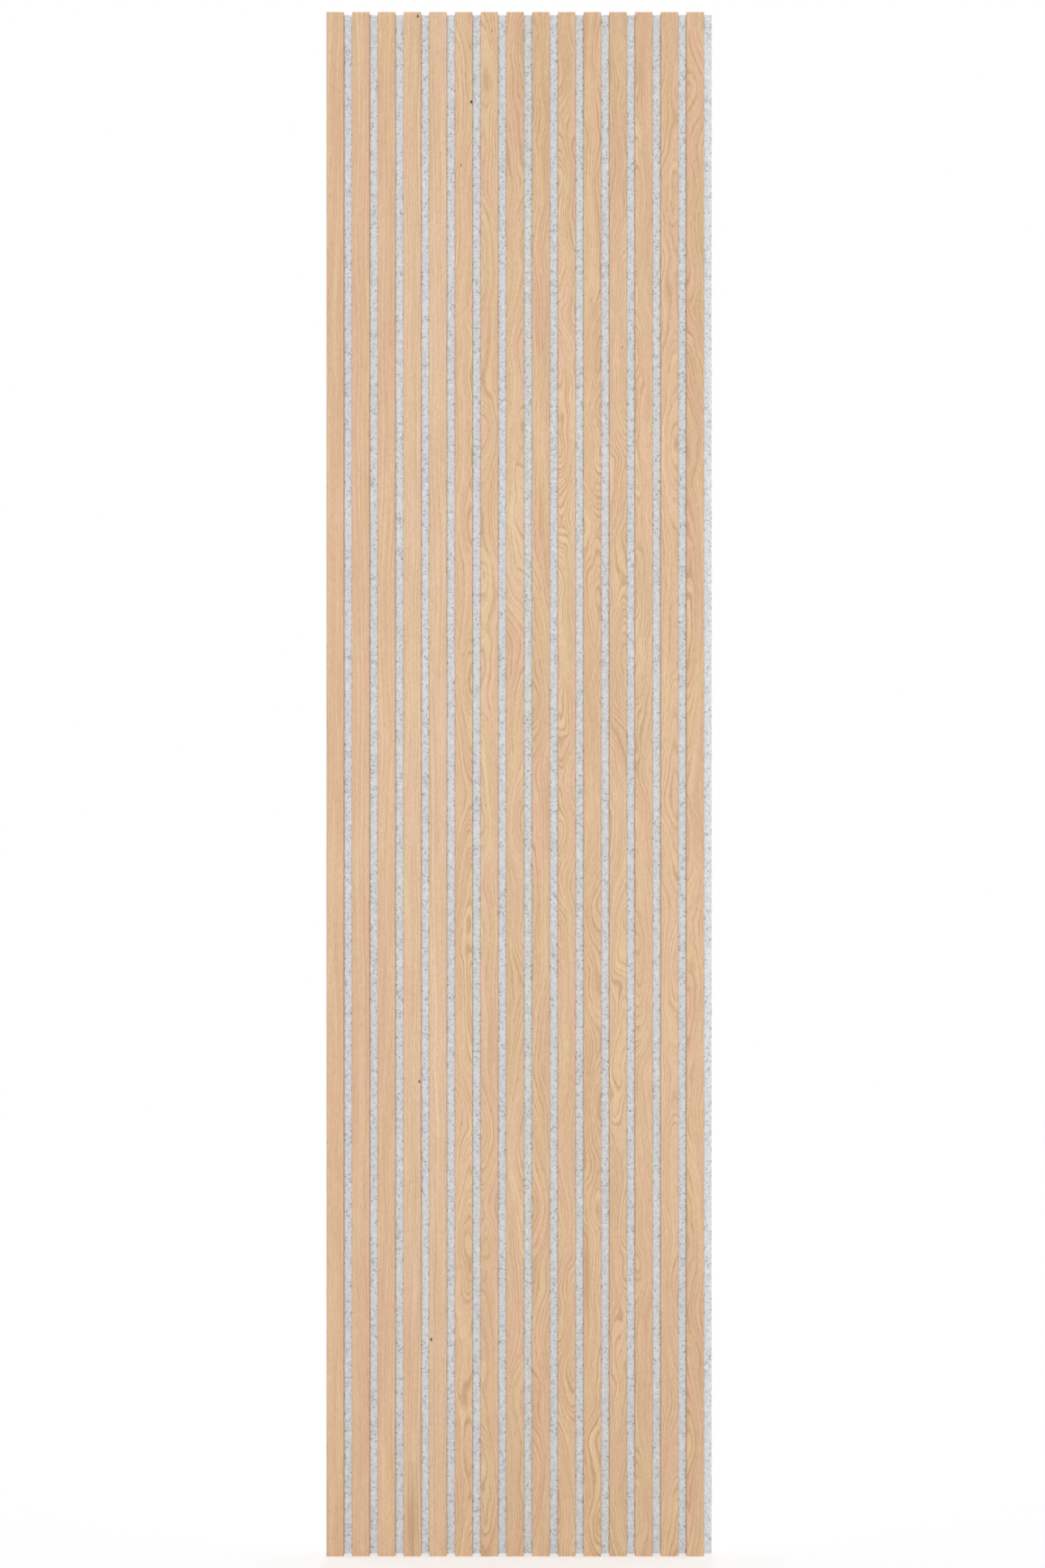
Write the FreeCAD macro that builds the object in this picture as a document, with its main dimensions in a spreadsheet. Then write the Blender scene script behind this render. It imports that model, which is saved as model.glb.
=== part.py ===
"""Acoustic slat wall panel: oak slats in a row on a board of pressed felt.

The slats run the full height of the panel. The first one is flush with the left edge of the felt, and the
felt reaches one gap past the last one, so that panels butt together with the gaps running on. Wire staples
driven in through the back of the felt hold each slat.

Frame, in millimetres: the origin is the middle of the felt's back, which goes against the wall. X runs to the
right as seen from the room, Y runs into the wall and Z runs up, along the slats.
"""

import FreeCAD, Part
import Sketcher
import os

# Driving dimensions: alias, value, what it is.
SIZES = (
    ("panel_length", "2400", "length of the slats and of the felt, along Z"),
    ("slat_count", "15", "slats side by side"),
    ("slat_width", "27", "width of a slat's face"),
    ("slat_gap", "13", "felt showing between two slats"),
    ("slat_depth", "12", "how far a slat stands off the felt"),
    ("slat_arris", "0.8", "rounding of a slat's two front edges"),
    ("felt_depth", "9", "thickness of the felt board"),
    ("staple_rows", "6", "staples along each slat"),
    ("staple_end_margin", "60", "from the end of a slat to its nearest staple"),
    ("staple_crown", "12.8", "outside width of a staple, across the slat"),
    ("wire_width", "1.2", "width of the flattened staple wire, along Z"),
    ("wire_depth", "0.7", "thickness of the staple wire, in the plane of the staple"),
    ("staple_cover", "5", "wood left between the points of a staple and the slat's face"),
    ("staple_clearance", "0.05", "room around the wire, in the felt and in the slats"),
)

# Places worked out from the driving dimensions, as expressions on the sheet.
PITCH = "(Sizes.slat_width + Sizes.slat_gap)"
PANEL_WIDTH = f"Sizes.slat_count * {PITCH}"
FIRST_SLAT_MIDDLE = f"(Sizes.slat_width - {PANEL_WIDTH}) / 2"
FIRST_ROW = "Sizes.staple_end_margin - Sizes.panel_length / 2"
LAST_SLAT_OFFSET = f"(Sizes.slat_count - 1) * {PITCH}"
LAST_ROW_OFFSET = "Sizes.panel_length - 2 * Sizes.staple_end_margin"
STAPLE_BITE = "(Sizes.slat_depth - Sizes.staple_cover)"
LEG_LENGTH = f"Sizes.felt_depth + {STAPLE_BITE}"
HOLE_ACROSS = "Sizes.wire_depth + 2 * Sizes.staple_clearance"
HOLE_ALONG = "Sizes.wire_width + 2 * Sizes.staple_clearance"
CROWN_ACROSS = "Sizes.staple_crown + 2 * Sizes.staple_clearance"

# A sketch numbers its own axes downwards from -1, and its origin is the start of the first of them.
SKETCH_AXES = ("across", "up")
AXES_ORIGIN = -1 - SKETCH_AXES.index("across")
UP_AXIS = -1 - SKETCH_AXES.index("up")
POINTS_OF_A_LINE = ("none", "start", "end", "middle")
START = POINTS_OF_A_LINE.index("start")
END = POINTS_OF_A_LINE.index("end")


def make_sheet(doc):
    """Writes the driving dimensions to the sheet, one row each."""
    sheet = doc.addObject("Spreadsheet::Sheet", "Sizes")
    for row, (alias, value, meaning) in enumerate(SIZES, start=1):
        sheet.set(f"A{row}", alias)
        sheet.set(f"B{row}", value)
        sheet.set(f"C{row}", meaning)
        sheet.setAlias(f"B{row}", alias)
    doc.recompute()
    return sheet


def origin_feature(body, role):
    """One of the body's own origin planes or axes, by its role."""
    return next(feature for feature in body.Origin.OriginFeatures if feature.Role == role)


def new_body(doc, label):
    """An empty body whose label names its file."""
    body = doc.addObject("PartDesign::Body", label)
    body.Label = label
    return body


def new_sketch(body, name, plane):
    """An empty sketch on one of the body's own origin planes."""
    sketch = body.newObject("Sketcher::SketchObject", name)
    sketch.AttachmentSupport = (origin_feature(body, plane), "")
    sketch.MapMode = "FlatFace"
    return sketch


def driven(sketch, name, constraint, expression):
    """Adds a dimension to a sketch and ties it to the sheet."""
    index = sketch.addConstraint(constraint)
    sketch.renameConstraint(index, name)
    sketch.setExpression(f"Constraints.{name}", expression)


def closed_outline(sketch, corners):
    """Draws a closed outline through the corners and returns the number of its first line."""
    points = [FreeCAD.Vector(x, y, 0) for x, y in corners]
    first = sketch.GeometryCount
    count = len(points)
    for start, end in zip(points, points[1:] + points[:1]):
        sketch.addGeometry(Part.LineSegment(start, end))
    for side in range(count):
        following = first + (side + 1) % count
        sketch.addConstraint(Sketcher.Constraint("Coincident", first + side, END, following, START))
    return first


def rectangle(sketch, name, across, along, middle_x=0.0):
    """Draws a rectangle, sized by two expressions, and returns its bottom and top lines."""
    # Only a rough start: the expressions set the size.
    rough = 1.0
    bottom = closed_outline(sketch, [
        (middle_x - rough, -rough),
        (middle_x + rough, -rough),
        (middle_x + rough, rough),
        (middle_x - rough, rough),
    ])
    right, top, left = bottom + 1, bottom + 2, bottom + 3
    for line in (bottom, top):
        sketch.addConstraint(Sketcher.Constraint("Horizontal", line))
    for line in (right, left):
        sketch.addConstraint(Sketcher.Constraint("Vertical", line))
    width = Sketcher.Constraint("DistanceX", bottom, START, bottom, END, rough)
    height = Sketcher.Constraint("DistanceY", right, START, right, END, rough)
    driven(sketch, f"{name}_across", width, across)
    driven(sketch, f"{name}_along", height, along)
    return bottom, top


def centred_rectangle(sketch, name, across, along):
    """Draws a rectangle with its middle on the sketch's origin."""
    bottom, top = rectangle(sketch, name, across, along)
    sketch.addConstraint(Sketcher.Constraint("Symmetric", bottom, START, top, START, AXES_ORIGIN, START))


def staple_leg_rectangles(sketch, sheet):
    """Draws the two holes of one staple, either side of the sketch's origin."""
    out = sheet.staple_crown / 2
    left_bottom, _ = rectangle(sketch, "left_hole", HOLE_ACROSS, HOLE_ALONG, middle_x=-out)
    right_bottom, right_top = rectangle(sketch, "right_hole", HOLE_ACROSS, HOLE_ALONG, middle_x=out)
    sketch.addConstraint(Sketcher.Constraint("Horizontal", left_bottom, START, right_bottom, START))
    sketch.addConstraint(
        Sketcher.Constraint("Symmetric", left_bottom, START, right_top, START, AXES_ORIGIN, START))
    outside = Sketcher.Constraint("DistanceX", left_bottom, START, right_bottom, END, sheet.staple_crown)
    driven(sketch, "outside", outside, CROWN_ACROSS)


def pad(body, name, sketch, length, midplane):
    """Extrudes a sketch by an expression."""
    feature = body.newObject("PartDesign::Pad", name)
    feature.Profile = sketch
    if midplane:
        feature.SideType = "Symmetric"
    feature.setExpression("Length", length)
    return feature


def pocket_into_back(body, name, sketch, depth):
    """Cuts a sketch on the body's back into the body, which lies on the -Y side of it."""
    feature = body.newObject("PartDesign::Pocket", name)
    feature.Profile = sketch
    feature.Reversed = True
    feature.setExpression("Length", depth)
    return feature


def repeat_along(pattern, suffix, direction, count, extent):
    """Sets one of a pattern's two directions: how many places, and how far the last is from the first."""
    setattr(pattern, f"Direction{suffix}", direction)
    setattr(pattern, f"Mode{suffix}", "Extent")
    pattern.setExpression(f"Occurrences{suffix}", count)
    pattern.setExpression(f"Length{suffix}", extent)


def make_felt_backing(doc, sheet):
    """The felt board: a plain slab, with a groove and two holes for each staple."""
    body = new_body(doc, "felt_backing")
    outline = new_sketch(body, "felt_outline", "XZ_Plane")
    centred_rectangle(outline, "board", PANEL_WIDTH, "Sizes.panel_length")
    pad(body, "felt_board", outline, "Sizes.felt_depth", midplane=False)

    groove = new_sketch(body, "crown_outline", "XZ_Plane")
    centred_rectangle(groove, "crown", CROWN_ACROSS, HOLE_ALONG)
    holes = new_sketch(body, "felt_leg_outlines", "XZ_Plane")
    staple_leg_rectangles(holes, sheet)
    for sketch in (groove, holes):
        sketch.setExpression("AttachmentOffset.Base.x", FIRST_SLAT_MIDDLE)
        sketch.setExpression("AttachmentOffset.Base.y", FIRST_ROW)
    doc.recompute()
    crown_groove = pocket_into_back(body, "crown_groove", groove, "Sizes.wire_depth")
    leg_holes = pocket_into_back(body, "felt_leg_holes", holes, "Sizes.felt_depth")
    doc.recompute()

    rows = body.newObject("PartDesign::LinearPattern", "felt_staple_places")
    rows.Originals = [crown_groove, leg_holes]
    repeat_along(rows, "", (groove, ["H_Axis"]), "Sizes.slat_count", LAST_SLAT_OFFSET)
    repeat_along(rows, "2", (groove, ["V_Axis"]), "Sizes.staple_rows", LAST_ROW_OFFSET)
    body.Tip = rows
    return body


def front_edges(feature):
    """Names of the two long edges of a slat's face: those furthest along -Y that run along Z."""
    face_y = feature.Shape.BoundBox.YMin
    names = []
    for number, edge in enumerate(feature.Shape.Edges, start=1):
        box = edge.BoundBox
        runs_up = box.ZLength > max(box.XLength, box.YLength)
        if runs_up and abs(edge.CenterOfMass.y - face_y) < Part.Precision.confusion():
            names.append(f"Edge{number}")
    return names


def make_slat(doc, sheet, number):
    """One slat: an oak lath with eased front edges, and the staples' holes in its back."""
    label = f"slat_{number:02d}"
    body = new_body(doc, label)
    body.setExpression("Placement.Base.x", f"{FIRST_SLAT_MIDDLE} + {number - 1} * {PITCH}")
    body.setExpression("Placement.Base.y", "-Sizes.felt_depth")

    section = new_sketch(body, f"{label}_section", "XY_Plane")
    _, back = rectangle(section, "lath", "Sizes.slat_width", "Sizes.slat_depth")
    # The back of the slat lies on the sketch's X axis, with its middle on the origin.
    section.addConstraint(Sketcher.Constraint("Symmetric", back, START, back, END, AXES_ORIGIN, START))
    lath = pad(body, f"{label}_lath", section, "Sizes.panel_length", midplane=True)
    doc.recompute()

    eased = body.newObject("PartDesign::Fillet", f"{label}_eased_edges")
    eased.Base = (lath, front_edges(lath))
    eased.setExpression("Radius", "Sizes.slat_arris")

    holes = new_sketch(body, f"{label}_leg_outlines", "XZ_Plane")
    staple_leg_rectangles(holes, sheet)
    holes.setExpression("AttachmentOffset.Base.y", FIRST_ROW)
    doc.recompute()
    bite = pocket_into_back(body, f"{label}_leg_holes", holes, f"{STAPLE_BITE} + Sizes.staple_clearance")
    doc.recompute()

    rows = body.newObject("PartDesign::LinearPattern", f"{label}_staple_places")
    rows.Originals = [bite]
    repeat_along(rows, "", (holes, ["V_Axis"]), "Sizes.staple_rows", LAST_ROW_OFFSET)
    body.Tip = rows
    return body


def make_staples(doc, sheet):
    """All the staples: flat wire bent to a square U with slanted points, its crown level with the felt."""
    body = new_body(doc, "staples")
    body.AllowCompound = True
    body.setExpression("Placement.Base.x", FIRST_SLAT_MIDDLE)
    body.setExpression("Placement.Base.z", FIRST_ROW)

    bent = new_sketch(body, "bent_wire", "XY_Plane")
    out = sheet.staple_crown / 2
    wire = sheet.wire_depth
    leg = sheet.felt_depth + sheet.slat_depth - sheet.staple_cover
    crown = closed_outline(bent, [
        (-out, 0.0),
        (out, 0.0),
        (out, -leg),
        (out - wire, wire - leg),
        (out - wire, -wire),
        (wire - out, -wire),
        (wire - out, wire - leg),
        (-out, -leg),
    ])
    right_out, _, right_in, under, left_in, _, left_out = range(crown + 1, crown + 8)
    for line in (right_out, right_in, left_in, left_out):
        bent.addConstraint(Sketcher.Constraint("Vertical", line))
    bent.addConstraint(Sketcher.Constraint("Horizontal", crown))
    bent.addConstraint(Sketcher.Constraint("Symmetric", crown, START, crown, END, AXES_ORIGIN, START))
    bent.addConstraint(Sketcher.Constraint("Symmetric", under, START, under, END, UP_AXIS))
    bent.addConstraint(Sketcher.Constraint("Horizontal", right_out, END, left_out, START))
    bent.addConstraint(Sketcher.Constraint("Horizontal", right_in, START, left_in, END))
    for name, kind, start, end, expression in (
        ("crown_width", "DistanceX", (crown, START), (crown, END), "Sizes.staple_crown"),
        ("crown_depth", "DistanceY", (under, START), (crown, END), "Sizes.wire_depth"),
        ("leg_depth", "DistanceX", (right_in, END), (right_out, START), "Sizes.wire_depth"),
        ("point_slant", "DistanceY", (right_out, END), (right_in, START), "Sizes.wire_depth"),
        ("leg_length", "DistanceY", (right_out, END), (right_out, START), LEG_LENGTH),
    ):
        driven(bent, name, Sketcher.Constraint(kind, *start, *end, wire), expression)
    wire_pad = pad(body, "staple_wire", bent, "Sizes.wire_width", midplane=True)
    doc.recompute()

    rows = body.newObject("PartDesign::LinearPattern", "staple_places")
    rows.Originals = [wire_pad]
    repeat_along(rows, "", (bent, ["H_Axis"]), "Sizes.slat_count", LAST_SLAT_OFFSET)
    repeat_along(rows, "2", (origin_feature(body, "Z_Axis"), [""]), "Sizes.staple_rows", LAST_ROW_OFFSET)
    body.Tip = rows
    return body


def check(doc, bodies):
    """Stops if any object failed to compute or any sub-part has no sound solid."""
    failed = [item.Label for item in doc.Objects if {"Invalid", "Error"} & set(item.State)]
    if failed:
        raise RuntimeError(f"these objects did not compute: {failed}")
    for body in bodies:
        if body.Shape.isNull() or not body.Shape.isValid() or not body.Shape.Solids:
            raise RuntimeError(f"{body.Label} has no sound solid")


def main():
    """Builds the panel and writes one file for each sub-part."""
    doc = FreeCAD.newDocument("slat_panel")
    sheet = make_sheet(doc)
    bodies = [make_felt_backing(doc, sheet)]
    bodies += [make_slat(doc, sheet, number) for number in range(1, int(sheet.slat_count) + 1)]
    bodies.append(make_staples(doc, sheet))
    doc.recompute()
    check(doc, bodies)
    os.makedirs("parts", exist_ok=True)
    for body in bodies:
        body.Shape.exportStep(f"parts/{body.Label}.step")


main()
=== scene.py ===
"""Dresses the slat panel: oak slats on grey felt, held by wire staples, in a plain white studio.

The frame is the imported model's own: metres, X to the right, Y into the wall and Z up along the slats.
"""

import logging
import math
from dataclasses import dataclass, field
from enum import Enum
from typing import Any, ClassVar

import bpy
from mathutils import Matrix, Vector


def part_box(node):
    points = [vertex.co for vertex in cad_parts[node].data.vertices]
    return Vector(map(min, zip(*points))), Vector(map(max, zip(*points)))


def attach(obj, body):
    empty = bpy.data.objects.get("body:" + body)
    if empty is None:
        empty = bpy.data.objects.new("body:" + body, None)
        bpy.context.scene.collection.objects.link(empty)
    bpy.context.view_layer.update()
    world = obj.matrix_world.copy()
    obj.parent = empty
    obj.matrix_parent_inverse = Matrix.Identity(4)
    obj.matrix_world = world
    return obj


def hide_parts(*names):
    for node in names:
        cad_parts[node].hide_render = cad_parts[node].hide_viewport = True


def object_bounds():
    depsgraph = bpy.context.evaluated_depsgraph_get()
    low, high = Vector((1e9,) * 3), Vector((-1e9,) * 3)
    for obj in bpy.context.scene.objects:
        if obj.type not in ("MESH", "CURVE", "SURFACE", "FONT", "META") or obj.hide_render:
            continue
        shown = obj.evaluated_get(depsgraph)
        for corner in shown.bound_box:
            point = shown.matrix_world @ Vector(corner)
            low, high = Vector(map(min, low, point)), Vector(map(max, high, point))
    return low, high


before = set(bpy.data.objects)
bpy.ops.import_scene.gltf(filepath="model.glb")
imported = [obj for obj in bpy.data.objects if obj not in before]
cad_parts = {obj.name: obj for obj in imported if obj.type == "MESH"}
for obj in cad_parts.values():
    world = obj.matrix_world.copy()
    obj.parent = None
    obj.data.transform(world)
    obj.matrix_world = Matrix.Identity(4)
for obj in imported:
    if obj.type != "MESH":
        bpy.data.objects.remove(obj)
CAD_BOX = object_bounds()

Tree = bpy.types.NodeTree
Socket = bpy.types.NodeSocket

LOG = logging.getLogger("slat_panel")
ROOT = "root"
MM = 0.001
TO_MM = (1 / MM, 1 / MM, 1 / MM)
# Points that lie closer together than this count as one.
TOUCHING = 0.01 * MM
WHITE = (1.0, 1.0, 1.0, 1.0)
# A Mix node's colour sockets go by number, because its sockets for other kinds of value share their names.
FACTOR, FIRST, SECOND, BLEND = 0, 6, 7, 2


def linear(hex_colour: str) -> tuple[float, float, float, float]:
    """Turns an sRGB hex colour into a linear one, by the sRGB standard's own curve.

    Args:
        hex_colour: Six hex digits after a hash sign.

    Returns:
        Linear red, green, blue and full alpha.
    """
    def channel(start: int) -> float:
        """One channel, from the two digits at start."""
        value = int(hex_colour[start:start + 2], 16) / 255
        return value / 12.92 if value <= 0.04045 else ((value + 0.055) / 1.055) ** 2.4

    return channel(1), channel(3), channel(5), 1.0


def add_node(
    tree: Tree,
    kind: str,
    inputs: dict[int | str, Any] | None = None,
    out: int | str = 0,
    stops: tuple[tuple[float, str], ...] = (),
    **settings: Any,
) -> Socket | None:
    """Adds a node with its settings and links.

    Args:
        tree: The material's or world's node tree.
        kind: The node's type, without the words that all shader nodes start with.
        inputs: A number, colour, vector or other node's output for each input that is set.
        out: The output to return.
        stops: For a colour ramp, its places and hex colours.
        settings: The node's own properties.

    Returns:
        The output asked for, or None from a node that has no outputs.
    """
    node = tree.nodes.new(f"ShaderNode{kind}")
    for name, value in settings.items():
        setattr(node, name, value)
    if stops:
        elements = node.color_ramp.elements
        while len(elements) < len(stops):
            elements.new(1.0)
        for element, (place, hex_colour) in zip(elements, stops):
            element.position = place
            element.color = linear(hex_colour)
    for key, value in (inputs or {}).items():
        if isinstance(value, Socket):
            tree.links.new(value, node.inputs[key])
        else:
            node.inputs[key].default_value = value
    return node.outputs[out] if len(node.outputs) else None


def new_material(name: str) -> bpy.types.Material:
    """Makes an empty material with nodes.

    Args:
        name: The material's name.

    Returns:
        The material.
    """
    material = bpy.data.materials.new(name)
    material.use_nodes = True
    material.node_tree.nodes.clear()
    return material


def wear(piece: bpy.types.Object, material: bpy.types.Material) -> None:
    """Gives a piece one material all over.

    Args:
        piece: The piece.
        material: Its material.
    """
    if not piece.material_slots:
        piece.data.materials.append(material)
    for slot in piece.material_slots:
        slot.material = material


def start_modelling() -> None:
    """Leaves nothing selected, so that the next tool acts on the new piece alone."""
    if bpy.context.object is not None and bpy.context.object.mode != "OBJECT":
        bpy.ops.object.mode_set(mode="OBJECT")
    bpy.ops.object.select_all(action="DESELECT")


@dataclass(frozen=True)
class OakColours:
    """A slat's colours: sallow and rosy streaks in its summer wood, its spring wood and its pores."""

    sallow: str
    rosy: str
    spring: str
    pore: str


class OakTone(Enum):
    """The tones of oak that the slats come in."""

    BLUSH = OakColours("#E2C59E", "#E2BB9F", "#CBA380", "#A97F5D")
    PALE = OakColours("#E6CBA8", "#E8C3A8", "#CBA682", "#AE8866")
    STRAW = OakColours("#E3C79F", "#E4BDA0", "#C6A17C", "#A37C57")
    HONEY = OakColours("#E2C59D", "#E3BB9D", "#C49E78", "#9C754F")


@dataclass(frozen=True)
class LogCut:
    """How dark the year rings are drawn, and where the face lay in the log.

    In millimetres: how far behind the face the heart of the log lies, the width of a ring, and how far the
    rings wander along the slat over a long wave, a middling one and a short one.
    """

    ring_contrast: float
    heart_depth: float
    ring_width: float
    wander: tuple[float, float, float]


class Sawing(Enum):
    """How a slat was sawn from the log, which decides the figure that its year rings draw."""

    RIFT = LogCut(0.9, 30.0, 2.4, (12.0, 4.0, 1.5))
    STRAIGHT = LogCut(0.95, 20.0, 3.0, (52.0, 18.0, 4.0))
    CROWN = LogCut(1.25, 11.0, 2.9, (58.0, 24.0, 5.0))
    WILD = LogCut(1.3, 9.0, 2.9, (70.0, 34.0, 7.0))


@dataclass(frozen=True)
class Grain:
    """A cloudy pattern drawn out along a slat, with its sizes in millimetres.

    Its number sets it apart from the slat's other patterns.
    """

    across: float
    along: float
    number: int
    detail: float = 1.0

    # How far the pattern moves from one slat to the next and from one number to the next, in its own sizes.
    SLAT_SHIFT: ClassVar[tuple[float, float, float]] = (3.7, 0.0, 9.1)
    NUMBER_SHIFT: ClassVar[tuple[float, float, float]] = (11.3, 5.9, 2.3)

    def draw(self, tree: Tree, place: Socket, slat: float) -> Socket:
        """Adds the pattern to a slat's material.

        Args:
            tree: The material's node tree.
            place: Millimetres from the middle of the slat's face.
            slat: The slat's number.

        Returns:
            A factor about 0.5.
        """
        shift = tuple(
            slat * by_slat + self.number * by_number
            for by_slat, by_number in zip(self.SLAT_SHIFT, self.NUMBER_SHIFT)
        )
        stretched = add_node(tree, "Mapping", {
            "Vector": place,
            "Location": shift,
            "Scale": (1 / self.across, 1 / self.across, 1 / self.along),
        })
        return add_node(tree, "TexNoise", {
            "Vector": stretched, "Scale": 1.0, "Detail": self.detail,
        }, out="Fac")


@dataclass(frozen=True)
class Mark:
    """A mark in the wood, in millimetres from the middle of the slat's face."""

    across: float
    up: float
    half_width: float
    half_height: float
    hex_colour: str

    # How deep it runs into the wood, in millimetres, and the grain that frays its edge.
    DEPTH: ClassVar[float] = 20.0
    EDGE: ClassVar[Grain]
    # How far its edge is frayed, where it starts to fade and where it is gone, in parts of its half size.
    FRAYED: ClassVar[float]
    WHOLE: ClassVar[float]
    GONE: ClassVar[float]
    # How much of its colour shows in its middle.
    STRENGTH: ClassVar[float]

    def draw(self, tree: Tree, place: Socket, colour: Socket, slat: float) -> Socket:
        """Adds the mark to a slat's colour.

        Args:
            tree: The material's node tree.
            place: Millimetres from the middle of the slat's face.
            colour: The wood's colour so far.
            slat: The slat's number.

        Returns:
            The colour with the mark.
        """
        distance = add_node(tree, "VectorMath", {0: add_node(tree, "Mapping", {
            "Vector": place,
            "Location": (-self.across / self.half_width, 0.0, -self.up / self.half_height),
            "Scale": (1 / self.half_width, 1 / self.DEPTH, 1 / self.half_height),
        })}, out="Value", operation="LENGTH")
        frayed = add_node(tree, "Math", {
            0: self.EDGE.draw(tree, place, slat),
            1: self.FRAYED,
            2: add_node(tree, "Math", {0: distance, 1: self.FRAYED / 2}, operation="SUBTRACT"),
        }, operation="MULTIPLY_ADD")
        share = add_node(tree, "MapRange", {
            "Value": frayed,
            "From Min": self.WHOLE,
            "From Max": self.GONE,
            "To Min": self.STRENGTH,
            "To Max": 0.0,
        }, interpolation_type="SMOOTHSTEP")
        return add_node(tree, "Mix", {
            FACTOR: share, FIRST: colour, SECOND: linear(self.hex_colour),
        }, out=BLEND, data_type="RGBA")


class Knot(Mark):
    """A pin knot: a dark dot where a twig grew."""

    EDGE = Grain(1.2, 70.0, number=7, detail=2.0)
    FRAYED = 0.6
    WHOLE = 0.5
    GONE = 1.0
    STRENGTH = 0.9


class Stain(Mark):
    """A soft patch of darker heartwood, which lets the figure through."""

    EDGE = Grain(4.0, 300.0, number=7, detail=2.0)
    FRAYED = 1.6
    WHOLE = 0.0
    GONE = 1.1
    STRENGTH = 0.6


@dataclass(frozen=True)
class PlanedOak:
    """Planed oak under matt lacquer: pale, with darker year rings, fine pores and hardly any shine."""

    name: str
    slat: float
    tone: OakTone
    sawing: Sawing
    # How far the heart of the log lies to the right of the face's middle, in millimetres.
    heart_across: float
    marks: tuple[Mark, ...] = ()

    # The year rings: what bends them, how the trunk tapers, and how their width changes with the summers.
    waves: tuple[Grain, ...] = (
        Grain(120.0, 260.0, number=10, detail=0.0),
        Grain(48.0, 100.0, number=11, detail=0.0),
        Grain(15.0, 40.0, number=12, detail=0.0),
    )
    taper: float = 0.006
    summer_pace: float = 0.4
    summer_reach: float = 1.4
    # From one ring to the next: white where the wood is spring wood, black where it is summer wood.
    ring_profile: tuple[tuple[float, str], ...] = (
        (0.0, "#FFFFFF"), (0.12, "#F4F4F4"), (0.36, "#505050"), (0.55, "#000000"), (0.88, "#282828"),
        (1.0, "#FFFFFF"),
    )
    # A ring's line fades and comes back along the slat, and some rings are fainter than others.
    fading: Grain = Grain(14.0, 90.0, number=9)
    fading_range: tuple[float, float] = (0.36, 0.6)
    faded: float = 0.45
    faintest_ring: float = 0.3

    # The wood between the rings: its patterns, how much each darkens it, and how pale it is without them.
    cloud: Grain = Grain(22.0, 190.0, number=4)
    streak: Grain = Grain(4.0, 300.0, number=5, detail=2.0)
    fibre: Grain = Grain(1.2, 70.0, number=6, detail=2.0)
    fleck: Grain = Grain(2.2, 6.0, number=14)
    cloud_share: float = 0.5
    streak_share: float = 0.75
    fibre_share: float = 0.58
    fleck_share: float = 0.68
    paleness: float = 0.72
    ring_paleness: float = 0.15
    tint: Grain = Grain(6.0, 240.0, number=8, detail=2.0)
    tint_range: tuple[float, float] = (0.38, 0.62)

    # Real oak pores are about 0.3 mm wide. They are drawn at three times that so that they show.
    pore: Grain = Grain(0.9, 11.0, number=3)
    pore_range: tuple[float, float] = (0.57, 0.72)
    pores_in_summer_wood: float = 0.3
    pore_share: float = 0.5

    # The sawn ends: their colour, how much of it shows, and how squarely a face has to look along the slat.
    end_hex: str = "#B08D6A"
    end_share: float = 0.6
    end_facing: float = 0.9

    # The lacquer follows the pores and, less deeply, the spring wood. Its depth is in millimetres.
    relief: float = 0.05
    relief_strength: float = 0.6
    ring_relief: float = 0.35
    roughness: float = 0.55
    pore_roughness: float = 0.12
    lacquer_ior: float = 1.5
    lacquer_level: float = 0.3

    def material(self, middle_x: float, face_y: float) -> bpy.types.Material:
        """Makes the slat's material.

        Args:
            middle_x: Middle of the slat's face across the panel, in metres.
            face_y: Where the slat's face lies, in metres.

        Returns:
            The material, on the slat's own Object coordinates.
        """
        material = new_material(self.name)
        tree = material.node_tree
        place = add_node(tree, "Mapping", {
            "Vector": add_node(tree, "TexCoord", out="Object"),
            "Location": (-middle_x / MM, -face_y / MM, 0.0),
            "Scale": TO_MM,
        })
        radius = self.growth(tree, place)
        line, ring_strength = self.year_rings(tree, radius)
        pores = self.pores(tree, place, line)
        colour = self.figure(tree, place, radius, line, ring_strength, pores)
        for mark in self.marks:
            colour = mark.draw(tree, place, colour, self.slat)
        colour = self.end_grain(tree, colour)
        height = add_node(tree, "Math", {0: line, 1: self.ring_relief, 2: pores}, operation="MULTIPLY_ADD")
        normal = add_node(tree, "Bump", {
            "Height": height, "Distance": self.relief * MM, "Strength": self.relief_strength,
        }, invert=True)
        rough = add_node(tree, "Math", {
            0: pores, 1: self.pore_roughness, 2: self.roughness,
        }, operation="MULTIPLY_ADD")
        surface = add_node(tree, "BsdfPrincipled", {
            "Base Color": colour,
            "Roughness": rough,
            "Normal": normal,
            "IOR": self.lacquer_ior,
            "Specular IOR Level": self.lacquer_level,
        })
        add_node(tree, "OutputMaterial", {"Surface": surface})
        return material

    def growth(self, tree: Tree, place: Socket) -> Socket:
        """Finds how far a point lies from the heart of the log, whose rings bend as the tree grew.

        Args:
            tree: The material's node tree.
            place: Millimetres from the middle of the slat's face.

        Returns:
            Millimetres from the heart.
        """
        cut = self.sawing.value
        from_heart = add_node(tree, "VectorMath", {0: add_node(tree, "Mapping", {
            "Vector": place,
            "Location": (-self.heart_across, -cut.heart_depth, 0.0),
            "Scale": (1.0, 1.0, 0.0),
        })}, out="Value", operation="LENGTH")
        up = add_node(tree, "SeparateXYZ", {0: place}, out="Z")
        radius = add_node(tree, "Math", {0: up, 1: self.taper, 2: from_heart}, operation="MULTIPLY_ADD")
        for wave, reach in zip(self.waves, cut.wander):
            bent = wave.draw(tree, place, self.slat)
            radius = add_node(tree, "Math", {0: bent, 1: reach, 2: radius}, operation="MULTIPLY_ADD")
        return radius

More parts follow.
